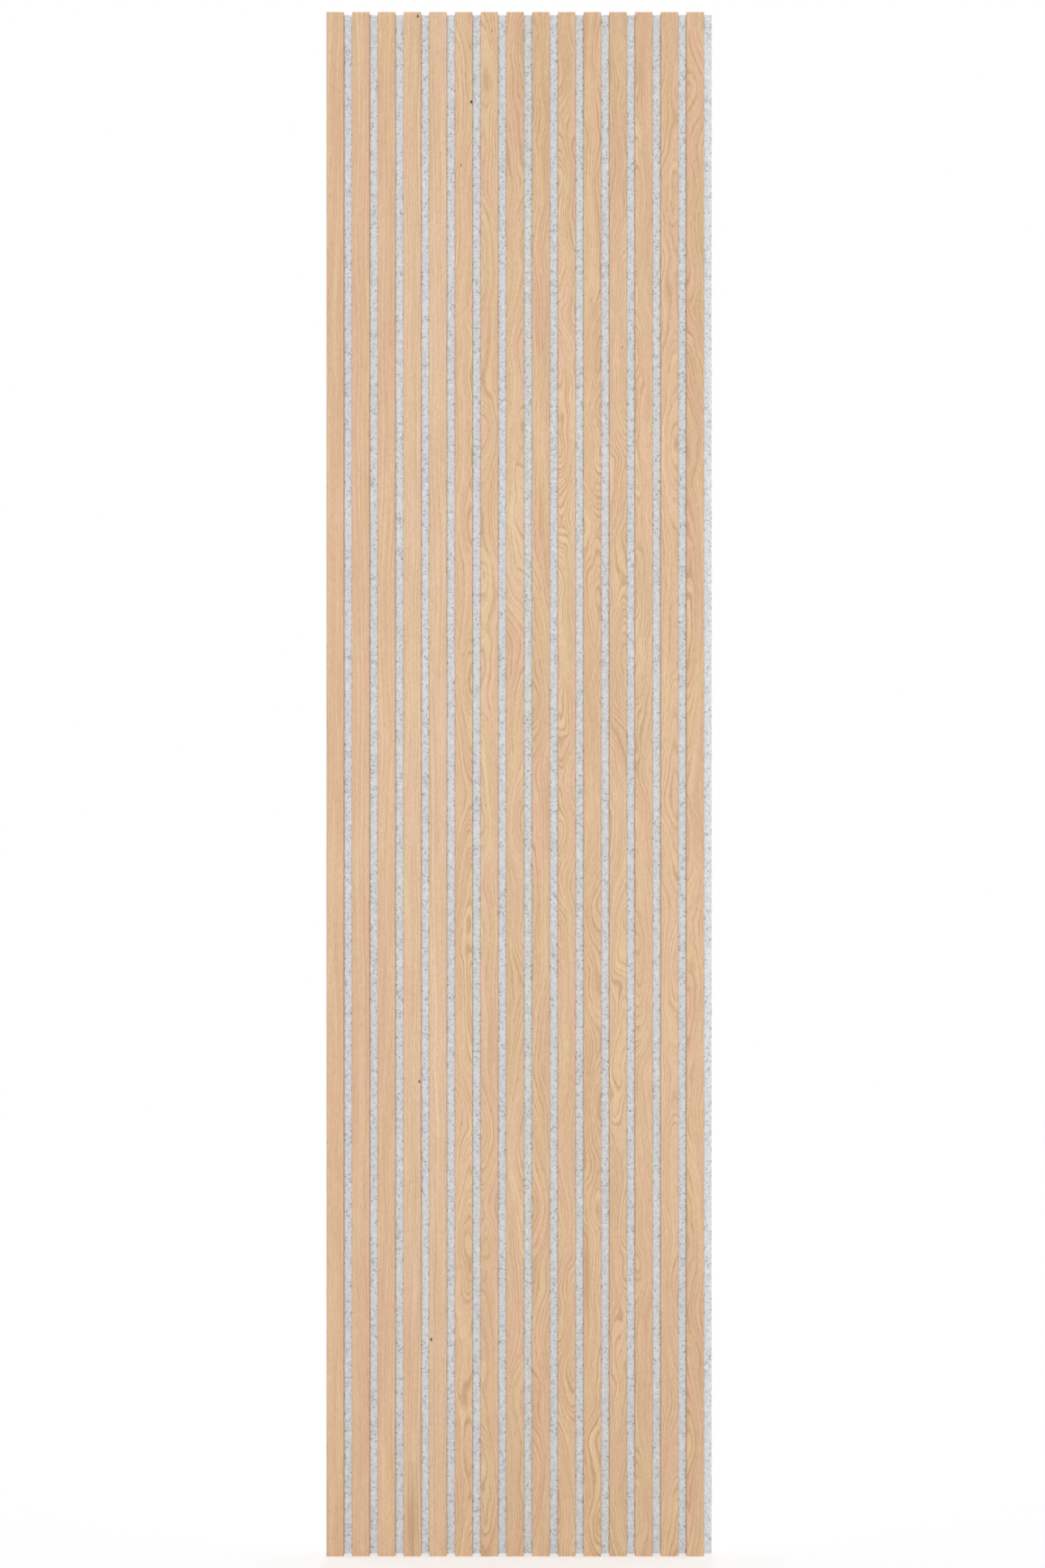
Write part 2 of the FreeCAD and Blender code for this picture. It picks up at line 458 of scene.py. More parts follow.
    def year_rings(self, tree: Tree, radius: Socket) -> tuple[Socket, Socket]:
        """Draws the year rings as tubes round the heart of the log.

        Args:
            tree: The material's node tree.
            radius: Millimetres from the heart.

        Returns:
            How far a point is in the spring wood of its ring, and how dark that ring is.
        """
        count = add_node(tree, "Math", {0: radius, 1: self.sawing.value.ring_width}, operation="DIVIDE")
        # Good and bad summers make rings of uneven width.
        summer = add_node(tree, "Math", {
            0: count, 1: self.summer_pace, 2: self.slat,
        }, operation="MULTIPLY_ADD")
        uneven = add_node(tree, "TexNoise", {
            "W": summer, "Scale": 1.0, "Detail": 0.0,
        }, out="Fac", noise_dimensions="1D")
        count = add_node(tree, "Math", {
            0: uneven, 1: self.summer_reach, 2: count,
        }, operation="MULTIPLY_ADD")
        through = add_node(tree, "Math", {0: count}, operation="FRACT")
        line = add_node(tree, "ValToRGB", {"Fac": through}, stops=self.ring_profile)
        strength = add_node(tree, "TexWhiteNoise", {
            "W": add_node(tree, "Math", {0: count}, operation="FLOOR"),
        }, out="Value", noise_dimensions="1D")
        return line, strength

    def pores(self, tree: Tree, place: Socket, line: Socket) -> Socket:
        """Draws the open pores: short dark dashes along the grain, most of them in the spring wood.

        Args:
            tree: The material's node tree.
            place: Millimetres from the middle of the slat's face.
            line: How far a point is in the spring wood.

        Returns:
            1 in a pore and 0 outside.
        """
        start, full = self.pore_range
        dashes = add_node(tree, "MapRange", {
            "Value": self.pore.draw(tree, place, self.slat), "From Min": start, "From Max": full,
        })
        least = self.pores_in_summer_wood
        amount = add_node(tree, "Math", {0: line, 1: 1 - least, 2: least}, operation="MULTIPLY_ADD")
        return add_node(tree, "Math", {0: dashes, 1: amount}, operation="MULTIPLY")

    def figure(
        self,
        tree: Tree,
        place: Socket,
        radius: Socket,
        line: Socket,
        ring_strength: Socket,
        pores: Socket,
    ) -> Socket:
        """Colours the wood: clouds, streaks, fibres and flecks, then the rings, the tints and the pores.

        Args:
            tree: The material's node tree.
            place: Millimetres from the middle of the slat's face.
            radius: Millimetres from the heart, so that streaks and fibres run with the rings.
            line: How far a point is in the spring wood.
            ring_strength: How dark its ring is.
            pores: 1 in a pore.

        Returns:
            The colour.
        """
        tone = self.tone.value
        up = add_node(tree, "SeparateXYZ", {0: place}, out="Z")
        in_log = add_node(tree, "CombineXYZ", {"X": radius, "Z": up})
        contrast = self.sawing.value.ring_contrast
        depth = -self.paleness - self.ring_paleness * contrast
        for pattern, where, share in (
            (self.cloud, place, self.cloud_share),
            (self.streak, in_log, self.streak_share),
            (self.fibre, in_log, self.fibre_share),
            (self.fleck, place, self.fleck_share),
        ):
            drawn = pattern.draw(tree, where, self.slat)
            depth = add_node(tree, "Math", {0: drawn, 1: share, 2: depth}, operation="MULTIPLY_ADD")
        ring_share = self.ring_share(tree, place, line, ring_strength)
        depth = add_node(tree, "Math", {0: ring_share, 1: contrast, 2: depth},
                         operation="MULTIPLY_ADD", use_clamp=True)
        start, full = self.tint_range
        tinted = add_node(tree, "MapRange", {
            "Value": self.tint.draw(tree, in_log, self.slat), "From Min": start, "From Max": full,
        }, interpolation_type="SMOOTHSTEP")
        pore_share = add_node(tree, "Math", {0: pores, 1: self.pore_share}, operation="MULTIPLY")
        colour = linear(tone.sallow)
        for share, hex_colour in ((tinted, tone.rosy), (depth, tone.spring), (pore_share, tone.pore)):
            colour = add_node(tree, "Mix", {
                FACTOR: share, FIRST: colour, SECOND: linear(hex_colour),
            }, out=BLEND, data_type="RGBA")
        return colour

    def ring_share(self, tree: Tree, place: Socket, line: Socket, ring_strength: Socket) -> Socket:
        """Finds how plain a ring's line is at a point.

        Args:
            tree: The material's node tree.
            place: Millimetres from the middle of the slat's face.
            line: How far a point is in the spring wood.
            ring_strength: How dark its ring is.

        Returns:
            1 on the plainest line and 0 in the summer wood.
        """
        start, full = self.fading_range
        faded = add_node(tree, "MapRange", {
            "Value": self.fading.draw(tree, place, self.slat),
            "From Min": start,
            "From Max": full,
            "To Min": self.faded,
        }, interpolation_type="SMOOTHSTEP")
        least = self.faintest_ring
        return add_node(tree, "Math", {
            0: add_node(tree, "Math", {0: line, 1: faded}, operation="MULTIPLY"),
            1: add_node(tree, "Math", {0: ring_strength, 1: 1 - least, 2: least}, operation="MULTIPLY_ADD"),
        }, operation="MULTIPLY")

    def end_grain(self, tree: Tree, colour: Socket) -> Socket:
        """Darkens the sawn ends, where open pores face out.

        Args:
            tree: The material's node tree.
            colour: The wood's colour.

        Returns:
            The colour, darker where a face looks along the slat.
        """
        facing = add_node(tree, "SeparateXYZ", {0: add_node(tree, "TexCoord", out="Normal")}, out="Z")
        either_way = add_node(tree, "Math", {0: facing}, operation="ABSOLUTE")
        end = add_node(tree, "Math", {0: either_way, 1: self.end_facing}, operation="GREATER_THAN")
        share = add_node(tree, "Math", {0: end, 1: self.end_share}, operation="MULTIPLY")
        return add_node(tree, "Mix", {
            FACTOR: share, FIRST: colour, SECOND: linear(self.end_hex),
        }, out=BLEND, data_type="RGBA")


@dataclass(frozen=True)
class NeedledFelt:
    """Needled polyester felt of mixed grey fibres: mottled, with curled hairs, and no shine."""

    name: str = "needled_grey_polyester_felt"
    light: str = "#EBF0F3"
    shade: str = "#9DA3A7"
    dark_hair: str = "#5D6265"
    light_hair: str = "#EEF1F2"
    # Millimetres: soft mottling, tufts of fibre, tangles of hairs and single hairs.
    mottle: float = 7.0
    tuft: float = 2.8
    tangle: float = 3.6
    hair_length: float = 7.0
    hair_curl: float = 6.0
    # A real fibre is about 0.03 mm thick. Hairs are drawn at 0.5 mm so that they show.
    hair_width: float = 0.5

    # How much the mottling and the tufts darken the felt, and how pale it is without them.
    mottle_share: float = 0.7
    tuft_share: float = 0.75
    paleness: float = 0.46

    # The directions in which hairs lie, in degrees, and how far apart that sets their patterns.
    dark_turns: tuple[float, ...] = (4.0, 52.0, 101.0, 163.0)
    light_turns: tuple[float, ...] = (28.0, 85.0, 146.0)
    turn_shift: tuple[float, float, float] = (1.0, 0.3, 0.7)
    # Which part of a pattern is hair, and how much of the felt a hair hides.
    hair_range: tuple[float, float] = (0.65, 0.78)
    hair_cover: float = 0.55
    # How thick the hairs lie from the thin places to the tangles.
    tangle_range: tuple[float, float] = (0.42, 0.72)
    tangle_thickness: tuple[float, float] = (-0.12, 0.16)

    # Where the slats lie on the felt, in millimetres, and the painted shade along their edges on the felt's
    # front: dark hairs drawn thicker there.
    slat_pitch: float = 40.0
    slat_width: float = 27.0
    edge_shade_reach: float = 2.5
    edge_shade_thickness: float = 0.06
    front_y: float = -8.0

    # The tufts stand up, and the light hairs on them. The depth is in millimetres.
    relief: float = 0.5
    relief_strength: float = 0.7
    hair_relief: float = 0.4
    roughness: float = 0.95
    shine: float = 0.15
    fuzz: float = 0.12
    fuzz_roughness: float = 0.6

    def material(self, left_x: float) -> bpy.types.Material:
        """Makes the felt's material, on its Object coordinates.

        Args:
            left_x: Where the first slat's left edge lies, in metres.

        Returns:
            The material.
        """
        material = new_material(self.name)
        tree = material.node_tree
        place = add_node(tree, "Mapping", {
            "Vector": add_node(tree, "TexCoord", out="Object"), "Scale": TO_MM,
        })
        mottle = add_node(tree, "TexNoise", {
            "Vector": place, "Scale": 1 / self.mottle, "Detail": 2.0, "Roughness": 0.6,
        }, out="Fac")
        tuft = add_node(tree, "TexNoise", {
            "Vector": place, "Scale": 1 / self.tuft, "Detail": 3.0, "Roughness": 0.65, "Distortion": 0.8,
        }, out="Fac")
        depth = add_node(tree, "Math", {
            0: mottle, 1: self.mottle_share, 2: -self.paleness,
        }, operation="MULTIPLY_ADD")
        depth = add_node(tree, "Math", {
            0: tuft, 1: self.tuft_share, 2: depth,
        }, operation="MULTIPLY_ADD", use_clamp=True)
        # The dark hairs also carry the painted shade along the slats' edges.
        dark = self.hairs(tree, place, self.dark_turns, self.tangles(tree, place, left_x))
        pale = self.hairs(tree, place, self.light_turns, 0.0)
        colour = linear(self.light)
        for share, hex_colour in ((depth, self.shade), (dark, self.dark_hair), (pale, self.light_hair)):
            colour = add_node(tree, "Mix", {
                FACTOR: share, FIRST: colour, SECOND: linear(hex_colour),
            }, out=BLEND, data_type="RGBA")
        height = add_node(tree, "Math", {0: pale, 1: self.hair_relief, 2: tuft}, operation="MULTIPLY_ADD")
        normal = add_node(tree, "Bump", {
            "Height": height, "Distance": self.relief * MM, "Strength": self.relief_strength,
        })
        surface = add_node(tree, "BsdfPrincipled", {
            "Base Color": colour,
            "Normal": normal,
            "Roughness": self.roughness,
            "Specular IOR Level": self.shine,
            "Sheen Weight": self.fuzz,
            "Sheen Roughness": self.fuzz_roughness,
        })
        add_node(tree, "OutputMaterial", {"Surface": surface})
        return material

    def hairs(
        self, tree: Tree, place: Socket, turns: tuple[float, ...], thickness: Socket | float,
    ) -> Socket:
        """Draws single hairs, curled and lying in several directions.

        Args:
            tree: The material's node tree.
            place: Millimetres from the panel's origin.
            turns: The directions, in degrees.
            thickness: How much thicker than usual the hairs lie, including the painted shade along the
                slats' edges.

        Returns:
            How much of the hair's colour shows.
        """
        curl = add_node(tree, "TexNoise", {
            "Vector": place, "Scale": 1 / self.hair_curl, "Detail": 0.0,
        }, out="Color")
        curled = add_node(tree, "VectorMath", {
            0: curl, 1: (self.hair_curl, self.hair_curl, self.hair_curl), 2: place,
        }, operation="MULTIPLY_ADD")
        start, full = self.hair_range
        found = 0.0
        for turn in turns:
            turned = add_node(tree, "VectorRotate", {
                "Vector": curled, "Angle": math.radians(turn),
            }, rotation_type="Y_AXIS")
            lie = add_node(tree, "Mapping", {
                "Vector": turned,
                "Location": tuple(turn * shift for shift in self.turn_shift),
                "Scale": (1 / self.hair_length, 1 / self.hair_length, 1 / self.hair_width),
            })
            strands = add_node(tree, "TexNoise", {"Vector": lie, "Scale": 1.0, "Detail": 1.0}, out="Fac")
            share = add_node(tree, "MapRange", {
                "Value": add_node(tree, "Math", {0: strands, 1: thickness}, operation="ADD"),
                "From Min": start,
                "From Max": full,
                "To Max": self.hair_cover,
            })
            found = add_node(tree, "Math", {0: share, 1: found}, operation="MAXIMUM")
        return found

    def tangles(self, tree: Tree, place: Socket, left_x: float) -> Socket:
        """Finds where hairs lie tangled, and paints shade along the edges of the slats as thicker dark
        hairs on the felt's front.

        Args:
            tree: The material's node tree.
            place: Millimetres from the panel's origin.
            left_x: Where the first slat's left edge lies, in metres.

        Returns:
            How much thicker than usual the hairs lie, less than 0 where they are thin.
        """
        matted = add_node(tree, "TexNoise", {
            "Vector": place, "Scale": 1 / self.tangle, "Detail": 1.0, "Distortion": 0.5,
        }, out="Fac")
        start, full = self.tangle_range
        thin, thick = self.tangle_thickness
        thickness = add_node(tree, "MapRange", {
            "Value": matted, "From Min": start, "From Max": full, "To Min": thin, "To Max": thick,
        })
        # Painted shade: near each slat's edge, on the felt's front, the dark hairs lie thicker.
        across = add_node(tree, "Math", {
            0: add_node(tree, "SeparateXYZ", {0: place}, out="X"), 1: left_x / MM,
        }, operation="SUBTRACT")
        in_pitch = add_node(tree, "Math", {0: across, 1: self.slat_pitch}, operation="FLOORED_MODULO")
        gap_half = (self.slat_pitch - self.slat_width) / 2
        from_middle = add_node(tree, "Math", {
            0: add_node(tree, "Math", {0: in_pitch, 1: self.slat_width + gap_half}, operation="SUBTRACT"),
        }, operation="ABSOLUTE")
        in_front = add_node(tree, "Math", {
            0: add_node(tree, "SeparateXYZ", {0: place}, out="Y"), 1: self.front_y,
        }, operation="LESS_THAN")
        edge = add_node(tree, "MapRange", {
            "Value": from_middle,
            "From Min": gap_half - self.edge_shade_reach,
            "From Max": gap_half,
            "To Max": add_node(tree, "Math", {0: in_front, 1: self.edge_shade_thickness}, operation="MULTIPLY"),
        })
        return add_node(tree, "Math", {0: thickness, 1: edge}, operation="ADD")


@dataclass(frozen=True)
class ZincWire:
    """Drawn steel wire with a zinc coat: grey metal, dulled in patches."""

    name: str = "drawn_zinc_coated_steel_wire"
    bright: str = "#A6A9AD"
    dull: str = "#75787C"
    # Size of a patch, in millimetres.
    patch: float = 1.5
    bright_roughness: float = 0.3
    dull_roughness: float = 0.5

    def material(self) -> bpy.types.Material:
        """Makes the wire's material.

        Returns:
            The material, on the wire's Object coordinates.
        """
        material = new_material(self.name)
        tree = material.node_tree
        patches = add_node(tree, "TexNoise", {
            "Vector": add_node(tree, "TexCoord", out="Object"),
            "Scale": 1 / (self.patch * MM),
            "Detail": 2.0,
        }, out="Fac")
        colour = add_node(tree, "Mix", {
            FACTOR: patches, FIRST: linear(self.bright), SECOND: linear(self.dull),
        }, out=BLEND, data_type="RGBA")
        rough = add_node(tree, "MapRange", {
            "Value": patches, "To Min": self.bright_roughness, "To Max": self.dull_roughness,
        })
        surface = add_node(tree, "BsdfPrincipled", {
            "Base Color": colour, "Roughness": rough, "Metallic": 1.0,
        })
        add_node(tree, "OutputMaterial", {"Surface": surface})
        return material


@dataclass
class SlatRow:
    """The slats, in order from the left."""

    finishes: list[PlanedOak] = field(default_factory=list)

    def dress(self) -> None:
        """Gives each slat its own oak, so that no two have the same figure."""
        for number, finish in enumerate(self.finishes, start=1):
            node = f"slat_{number:02d}"
            low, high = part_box(node)
            wear(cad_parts[node], finish.material((low[0] + high[0]) / 2, low[1]))
            LOG.info("%s: %s, %s", node, finish.name, finish.sawing.name.lower())


@dataclass
class StapleSet:
    """The wire staples, their crowns level with the back of the felt. Sizes in metres."""

    name: str = "bent_wire_staples"
    crown: float = 12.8 * MM
    wire_width: float = 1.2 * MM
    wire_depth: float = 0.7 * MM
    bend_radius: float = 0.6 * MM
    bend_steps: int = 4
    columns: int = 15
    column_pitch: float = 40.0 * MM
    rows: int = 6
    row_pitch: float = 456.0 * MM
    finish: ZincWire = field(default_factory=ZincWire)

    def places(self) -> list[tuple[float, float]]:
        """Finds where the staples lie.

        Returns:
            The middle of each staple's crown, across and up.
        """
        low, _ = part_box("staples")
        first_x = low[0] + self.crown / 2
        first_z = low[2] + self.wire_width / 2
        return [
            (first_x + column * self.column_pitch, first_z + row * self.row_pitch)
            for column in range(self.columns)
            for row in range(self.rows)
        ]

    def build(self) -> bpy.types.Object:
        """Bends one staple from the wire's cross-section and repeats it over the panel.

        Returns:
            All the staples as one piece.
        """
        low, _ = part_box("staples")
        tip_y = low[1]
        first_x, first_z = self.places()[0]
        half = self.crown / 2
        start_modelling()
        bpy.ops.mesh.primitive_plane_add(size=1.0, rotation=(math.pi / 2, 0.0, 0.0))
        staple = bpy.context.object
        staple.name = self.name
        staple.scale = (self.wire_depth, self.wire_width, 1.0)
        staple.location = (first_x - half + self.wire_depth / 2, tip_y, first_z)
        bpy.ops.object.transform_apply(location=True, rotation=True, scale=True)
        turn = self.bend_radius + self.wire_depth
        bpy.ops.object.mode_set(mode="EDIT")
        bpy.ops.mesh.select_all(action="SELECT")
        self.draw(0.0, -tip_y - turn)
        self.bend((first_x - half + turn, -turn, first_z))
        self.draw(self.crown - 2 * turn, 0.0)
        self.bend((first_x + half - turn, -turn, first_z))
        self.draw(0.0, tip_y + turn)
        bpy.ops.mesh.select_all(action="SELECT")
        bpy.ops.mesh.remove_doubles(threshold=TOUCHING)
        bpy.ops.mesh.normals_make_consistent(inside=False)
        bpy.ops.object.mode_set(mode="OBJECT")
        for name, count, offset in (
            ("along the panel", self.columns, (self.column_pitch, 0.0, 0.0)),
            ("up the slats", self.rows, (0.0, 0.0, self.row_pitch)),
        ):
            repeat = staple.modifiers.new(name, "ARRAY")
            repeat.count = count
            repeat.use_relative_offset = False
            repeat.use_constant_offset = True
            repeat.constant_offset_displace = offset
            bpy.ops.object.modifier_apply(modifier=repeat.name)
        return staple

    def draw(self, across: float, back: float) -> None:
        """Extrudes the wire's end along a straight run."""
        bpy.ops.mesh.extrude_region_move(TRANSFORM_OT_translate={"value": (across, back, 0.0)})

    def bend(self, centre: tuple[float, float, float]) -> None:
        """Turns the wire's end through a right angle, clockwise as seen from above."""
        bpy.ops.mesh.spin(steps=self.bend_steps, angle=math.pi / 2, center=centre, axis=(0.0, 0.0, 1.0))

    def dress(self, staples: bpy.types.Object) -> None:
        """Gives the staples their metal and puts them in the place of the plain ones.

        Args:
            staples: The staples.
        """
        wear(staples, self.finish.material())
        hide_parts("staples")
        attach(staples, ROOT)
        LOG.info("%s: %d faces", staples.name, len(staples.data.polygons))


@dataclass
class FeltBoard:
    """The felt behind the slats: its cut edges are soft, and each staple pulls its back in a little."""

    name: str = "felt_board"
    edge_radius: float = 0.8 * MM
    edge_steps: int = 3
    # How far a staple pulls the felt in, how far round it the dip reaches, and the least share that counts.
    dip: float = 0.65 * MM
    dip_reach: float = 5.0 * MM
    least_dip: float = 0.01
    # Where the faces are divided round a staple, in millimetres from its middle.
    cuts_across: tuple[float, ...] = (-16.0, -10.0, -6.4, 0.0, 6.4, 10.0, 16.0)
    cuts_up: tuple[float, ...] = (-9.0, -4.0, -1.0, 1.0, 4.0, 9.0)
    smooth_angle: float = math.radians(40.0)
    finish: NeedledFelt = field(default_factory=NeedledFelt)

    def build(self, staples: StapleSet) -> bpy.types.Object:
        """Models the board from a block, with finer faces round the staples.

        Args:
            staples: The staples that pull it in.

        Returns:
            The board.
        """
        low, high = (Vector(corner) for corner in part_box("felt_backing"))
        start_modelling()
        bpy.ops.mesh.primitive_cube_add(size=1.0)
        board = bpy.context.object
        board.name = self.name
        board.scale = high - low
        board.location = (low + high) / 2
        bpy.ops.object.transform_apply(location=True, rotation=True, scale=True)
        soften = board.modifiers.new("soft cut edges", "BEVEL")
        soften.width = self.edge_radius
        soften.segments = self.edge_steps
        bpy.ops.object.modifier_apply(modifier=soften.name)
        self.cut_round(staples)
        self.pull_in(board, staples, high.y)
        bpy.ops.object.shade_smooth_by_angle(angle=self.smooth_angle)
        return board

    def cut_round(self, staples: StapleSet) -> None:
        """Divides the board's faces along lines either side of each staple.

        Args:
            staples: The staples.
        """
        columns = sorted({x for x, _ in staples.places()})
        rows = sorted({z for _, z in staples.places()})
        cuts = [((x + cut * MM, 0.0, 0.0), (1.0, 0.0, 0.0)) for x in columns for cut in self.cuts_across]
        cuts += [((0.0, 0.0, z + cut * MM), (0.0, 0.0, 1.0)) for z in rows for cut in self.cuts_up]
        bpy.ops.object.mode_set(mode="EDIT")
        for point, normal in cuts:
            bpy.ops.mesh.select_all(action="SELECT")
            bpy.ops.mesh.bisect(plane_co=point, plane_no=normal)
        bpy.ops.object.mode_set(mode="OBJECT")

    def pull_in(self, board: bpy.types.Object, staples: StapleSet, back_y: float) -> None:
        """Presses a shallow dip into the back under each staple's crown.

        Args:
            board: The felt board.
            staples: The staples.
            back_y: Where the board's back lies.
        """
        group = board.vertex_groups.new(name="pulled in by staples")
        half = staples.crown / 2
        places = staples.places()
        for vertex in board.data.vertices:
            if abs(vertex.co.y - back_y) > TOUCHING:
                continue
            nearest = min(
                math.hypot(max(abs(vertex.co.x - x) - half, 0.0), vertex.co.z - z) for x, z in places
            )
            weight = math.exp(-(nearest / self.dip_reach) ** 2)
            if weight > self.least_dip:
                group.add([vertex.index], weight, "REPLACE")
        press = board.modifiers.new("staple dips", "DISPLACE")
        press.vertex_group = group.name
        press.direction = "Y"
        press.mid_level = 0.0
        press.strength = -self.dip
        bpy.ops.object.modifier_apply(modifier=press.name)

    def dress(self, board: bpy.types.Object) -> None:
        """Gives the board its felt and puts it in the place of the plain one.

        Args:
            board: The felt board.
        """
        wear(board, self.finish.material(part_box("slat_01")[0][0]))
        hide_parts("felt_backing")
        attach(board, ROOT)
        LOG.info("%s: %d faces", board.name, len(board.data.polygons))


@dataclass
class Studio:
    """White floor and background, soft lamps on all four sides of the panel, and the camera."""

    floor_side: float = 30.0
    floor_hex: str = "#E4E4E4"
    # Near the panel the floor is just short of white, so that a shadow shows. Further out, in metres, it
    # fades into the white surroundings.
    floor_glow: float = 0.44
    glow_near: float = 1.2
    glow_far: float = 4.5
    ambient: float = 0.46

    # Metres and watts.
    lamp_distance: float = 7.0
    lamp_height: float = 0.3
    lamp_size: tuple[float, float] = (3.4, 2.9)
    front_power: float = 267.0
    back_power: float = 226.0
    side_power: float = 95.0
    # The side lamps hang behind the line of the panel: they light its edges and back and not its face.
    side_turn: float = math.radians(14.0)

    # The camera looks straight at the panel, a little to the right of its middle.
    camera_distance: float = 3.1
    camera_across: float = 4.9 * MM
    camera_up: float = 0.45 * MM
    sensor: float = 36.0
    # The panel's height, and how many of the picture's pixels it takes up.
    panel_height: float = 2400.0 * MM
    panel_pixels: float = 1713.9
    picture_pixels: float = 1740.0

    def build(self) -> None:
        """Sets up the whole studio."""
        scene = bpy.context.scene
        scene.view_settings.view_transform = "Standard"
        self.background(scene)
        self.floor()
        self.lamp("front_softbox", -math.pi / 2, self.front_power)
        self.lamp("back_softbox", math.pi / 2, self.back_power)
        self.lamp("left_softbox", math.pi - self.side_turn, self.side_power)
        self.lamp("right_softbox", self.side_turn, self.side_power)
        self.camera(scene)

    def seen_directly(self, tree: Tree) -> Socket:
        """Tells what the camera sees, straight or by way of metal or glass, from light on the object.

        Args:
            tree: The material's or world's node tree.

        Returns:
            1 for what is seen and 0 for light on the object.
        """
        seen = 0.0
        for ray in ("Is Camera Ray", "Is Glossy Ray", "Is Transmission Ray"):
            is_ray = add_node(tree, "LightPath", out=ray)
            seen = add_node(tree, "Math", {0: is_ray, 1: seen}, operation="MAXIMUM")
        return seen

    def background(self, scene: bpy.types.Scene) -> None:
        """Makes the surroundings white to look at, and a weak fill light to the panel.

        Args:
            scene: The scene.
        """
        world = bpy.data.worlds.new("white_studio")
        world.use_nodes = True
        tree = world.node_tree
        tree.nodes.clear()
        strength = add_node(tree, "MapRange", {
            "Value": self.seen_directly(tree), "To Min": self.ambient, "To Max": 1.0,
        })
        light = add_node(tree, "Background", {"Color": WHITE, "Strength": strength})
        add_node(tree, "OutputWorld", {"Surface": light})
        scene.world = world

    def floor(self) -> None:
        """Lays the floor: pale paper that takes the panel's shadow and fades to white for the camera."""
        start_modelling()
        bpy.ops.mesh.primitive_plane_add(size=self.floor_side, location=(0.0, 0.0, CAD_BOX[0][2]))
        floor = bpy.context.object
        floor.name = "studio_floor"
        material = new_material("white_studio_paper")
        tree = material.node_tree
        seen = self.seen_directly(tree)
        paper = add_node(tree, "BsdfDiffuse", {"Color": linear(self.floor_hex)})
        glow = add_node(tree, "Emission", {
            "Color": WHITE,
            "Strength": add_node(tree, "Math", {0: seen, 1: self.floor_glow}, operation="MULTIPLY"),
        })
        near = add_node(tree, "AddShader", {0: paper, 1: glow})
        far = add_node(tree, "Emission", {"Color": WHITE, "Strength": 1.0})
        away = add_node(tree, "VectorMath", {
            0: add_node(tree, "TexCoord", out="Object"),
        }, out="Value", operation="LENGTH")
        fade = add_node(tree, "MapRange", {
            "Value": away, "From Min": self.glow_near, "From Max": self.glow_far,
        }, interpolation_type="SMOOTHSTEP")
        share = add_node(tree, "Math", {0: seen, 1: fade}, operation="MULTIPLY")
        surface = add_node(tree, "MixShader", {0: share, 1: near, 2: far})
        add_node(tree, "OutputMaterial", {"Surface": surface})
        wear(floor, material)
        LOG.info("%s", floor.name)

    def lamp(self, name: str, turn: float, power: float) -> None:
        """Hangs a soft lamp on one side of the panel.

        Args:
            name: The lamp's name.
            turn: How far round the panel it hangs, in radians from the right.
            power: Its power in watts.
        """
        data = bpy.data.lights.new(name, "AREA")
        data.shape = "RECTANGLE"
        data.size, data.size_y = self.lamp_size
        data.energy = power
        lamp = bpy.data.objects.new(name, data)
        reach = self.lamp_distance
        lamp.location = (reach * math.cos(turn), reach * math.sin(turn), self.lamp_height)
        aim = Vector((0.0, 0.0, 0.0)) - lamp.location
        lamp.rotation_euler = aim.to_track_quat("-Z", "Y").to_euler()
        bpy.context.collection.objects.link(lamp)

    def camera(self, scene: bpy.types.Scene) -> None:
        """Sets the camera where the photograph was taken from.

        Args:
            scene: The scene.
        """
        picture_height = self.panel_height * self.picture_pixels / self.panel_pixels
        data = bpy.data.cameras.new("camera")
        data.sensor_width = self.sensor
        data.sensor_fit = "AUTO"
        data.lens = self.sensor * self.camera_distance / picture_height
        camera = bpy.data.objects.new("camera", data)
        camera.location = (self.camera_across, CAD_BOX[0][1] - self.camera_distance, self.camera_up)
        camera.rotation_euler = (math.pi / 2, 0.0, 0.0)
        bpy.context.collection.objects.link(camera)
        scene.camera = camera


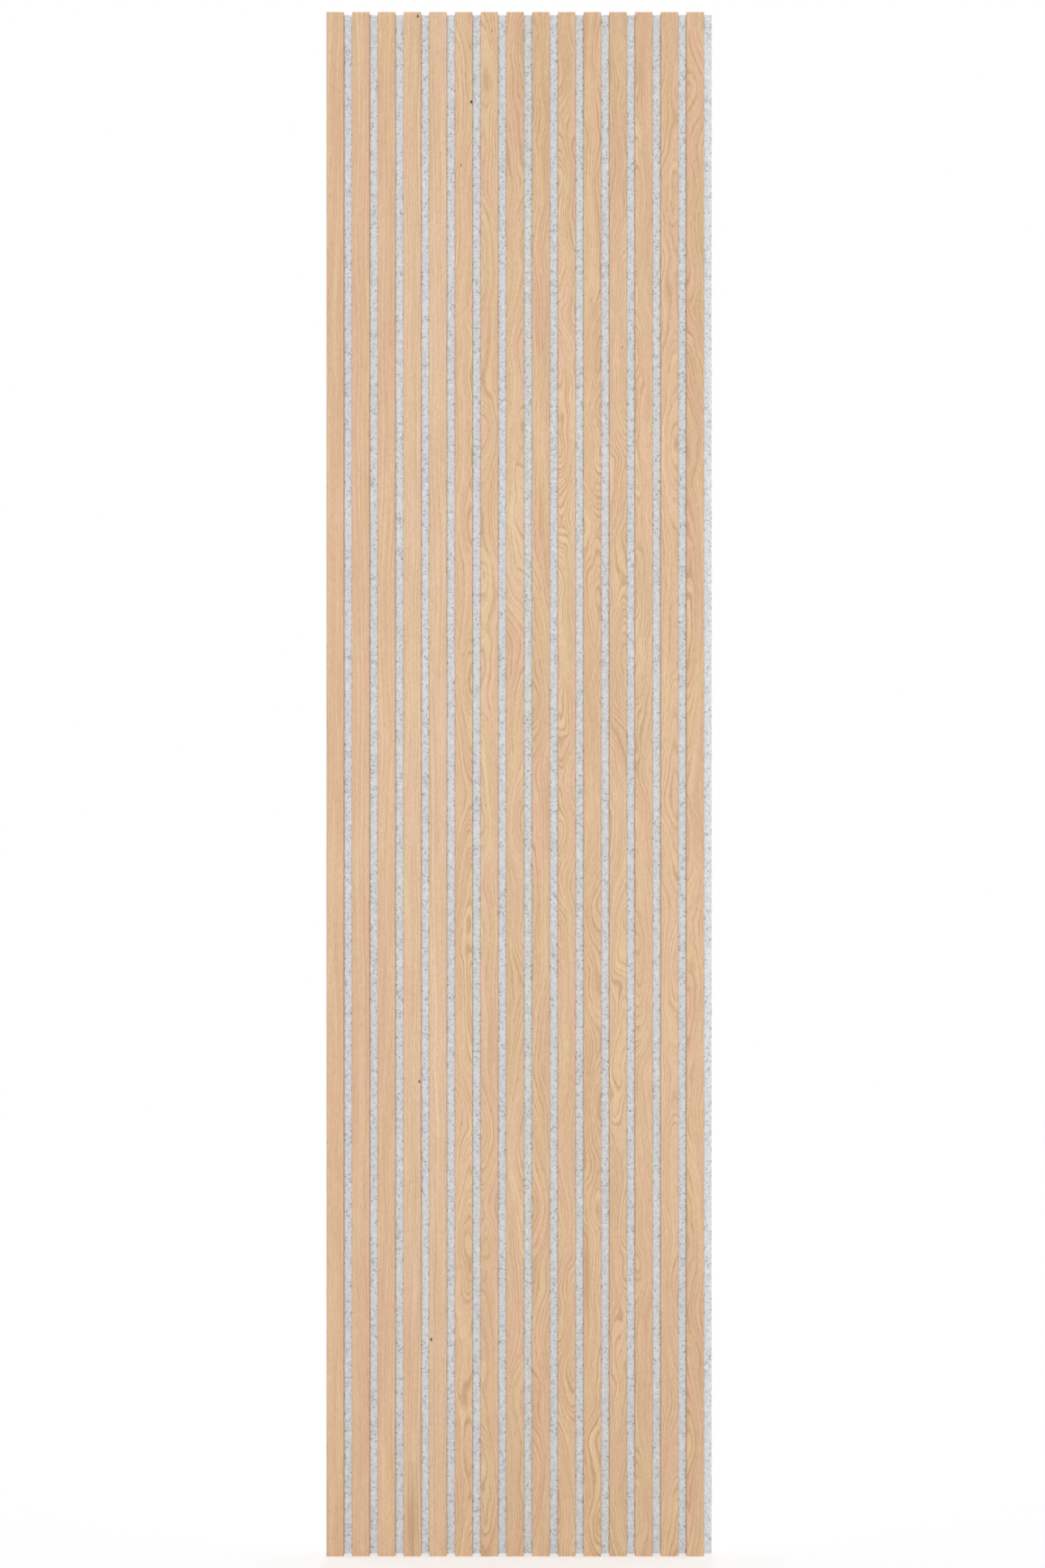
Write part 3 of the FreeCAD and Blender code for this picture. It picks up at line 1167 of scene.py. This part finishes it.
def oak_slats() -> list[PlanedOak]:
    """Lists the oak of each slat, from the left.

    Returns:
        Their finishes, each with its tone, how it was sawn, where the heart of its log lay, and its marks.
    """
    tone, sawing = OakTone, Sawing
    boards: tuple[tuple[OakTone, Sawing, float, tuple[Mark, ...]], ...] = (
        (tone.BLUSH, sawing.RIFT, 48.0, ()),
        (tone.BLUSH, sawing.RIFT, -52.0, ()),
        (tone.BLUSH, sawing.RIFT, 40.0, ()),
        (tone.PALE, sawing.RIFT, 60.0, (
            Stain(1.0, -1150.0, 16.0, 100.0, "#B48D68"),
            Knot(8.8, 1193.4, 2.0, 2.8, "#4A3320"),
            Knot(11.0, -462.0, 2.0, 3.0, "#4A3320"),
        )),
        (tone.PALE, sawing.RIFT, -45.0, (Knot(-10.4, -862.6, 2.2, 3.4, "#2E2012"),)),
        (tone.STRAW, sawing.CROWN, 12.0, (
            Knot(-4.0, 962.0, 1.1, 4.0, "#8C6747"),
            Knot(12.2, 1060.4, 3.4, 3.2, "#2E241C"),
        )),
        (tone.STRAW, sawing.STRAIGHT, -14.0, (Knot(3.9, 1171.0, 0.9, 3.5, "#8C6747"),)),
        (tone.STRAW, sawing.STRAIGHT, 18.0, ()),
        (tone.HONEY, sawing.STRAIGHT, -20.0, ()),
        (tone.STRAW, sawing.WILD, -15.0, ()),
        (tone.HONEY, sawing.CROWN, 14.0, (Stain(-8.0, -770.0, 6.0, 120.0, "#B58A5E"),)),
        (tone.STRAW, sawing.WILD, 15.0, (Knot(6.2, 679.0, 1.2, 3.0, "#7A5738"),)),
        (tone.STRAW, sawing.WILD, -13.0, (Stain(-4.8, 1100.0, 9.0, 34.0, "#C4A377"),)),
        (tone.STRAW, sawing.STRAIGHT, 15.0, ()),
        (tone.HONEY, sawing.STRAIGHT, -16.0, ()),
    )
    return [
        PlanedOak(f"planed_oak_{number:02d}", float(number), board_tone, cut, heart_across, marks)
        for number, (board_tone, cut, heart_across, marks) in enumerate(boards, start=1)
    ]


def main() -> None:
    """Builds the pieces in order, then the studio."""
    logging.basicConfig(level=logging.INFO, format="%(message)s")
    SlatRow(oak_slats()).dress()
    staples = StapleSet()
    staples.dress(staples.build())
    felt = FeltBoard()
    felt.dress(felt.build(staples))
    Studio().build()


if __name__ == "__main__":
    main()
